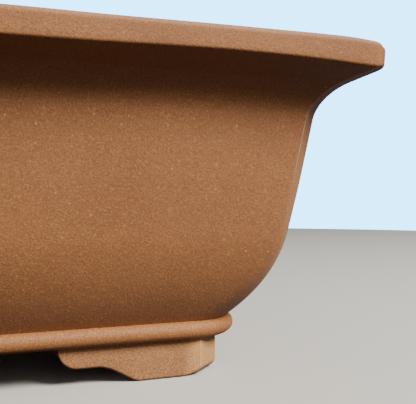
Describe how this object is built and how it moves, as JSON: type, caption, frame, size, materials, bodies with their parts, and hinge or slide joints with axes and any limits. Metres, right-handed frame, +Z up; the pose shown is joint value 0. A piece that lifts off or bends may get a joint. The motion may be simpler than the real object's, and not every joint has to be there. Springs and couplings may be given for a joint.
{
  "type": "bonsai pot",
  "caption": "Unglazed rectangular bonsai pot with a flared lip, bowed tapering walls, cut corners, a half-round base band and cloud feet.",
  "frame": {"origin": "centre of the footprint, on the table the feet stand on", "axes": "+X along the length, +Z up, front towards -Y"},
  "size_m": [0.3498, 0.2598, 0.111],
  "materials": {
    "clay_floor": "unglazed stoneware, sanded",
    "clay_wall": "unglazed stoneware, fine grain",
    "clay_lip": "unglazed stoneware, fine grain",
    "clay_band": "unglazed stoneware, fine grain",
    "clay_foot": "unglazed stoneware, fine grain"
  },
  "bodies": {
    "root": {"floor_slab": "clay_floor", "wall_front": "clay_wall", "wall_back": "clay_wall", "wall_left": "clay_wall", "wall_right": "clay_wall", "lip_front": "clay_lip", "lip_back": "clay_lip", "lip_left": "clay_lip", "lip_right": "clay_lip", "band_front": "clay_band", "band_back": "clay_band", "band_left": "clay_band", "band_right": "clay_band", "foot_front_left": "clay_foot", "foot_front_right": "clay_foot", "foot_back_left": "clay_foot", "foot_back_right": "clay_foot"}
  },
  "joints": []
}
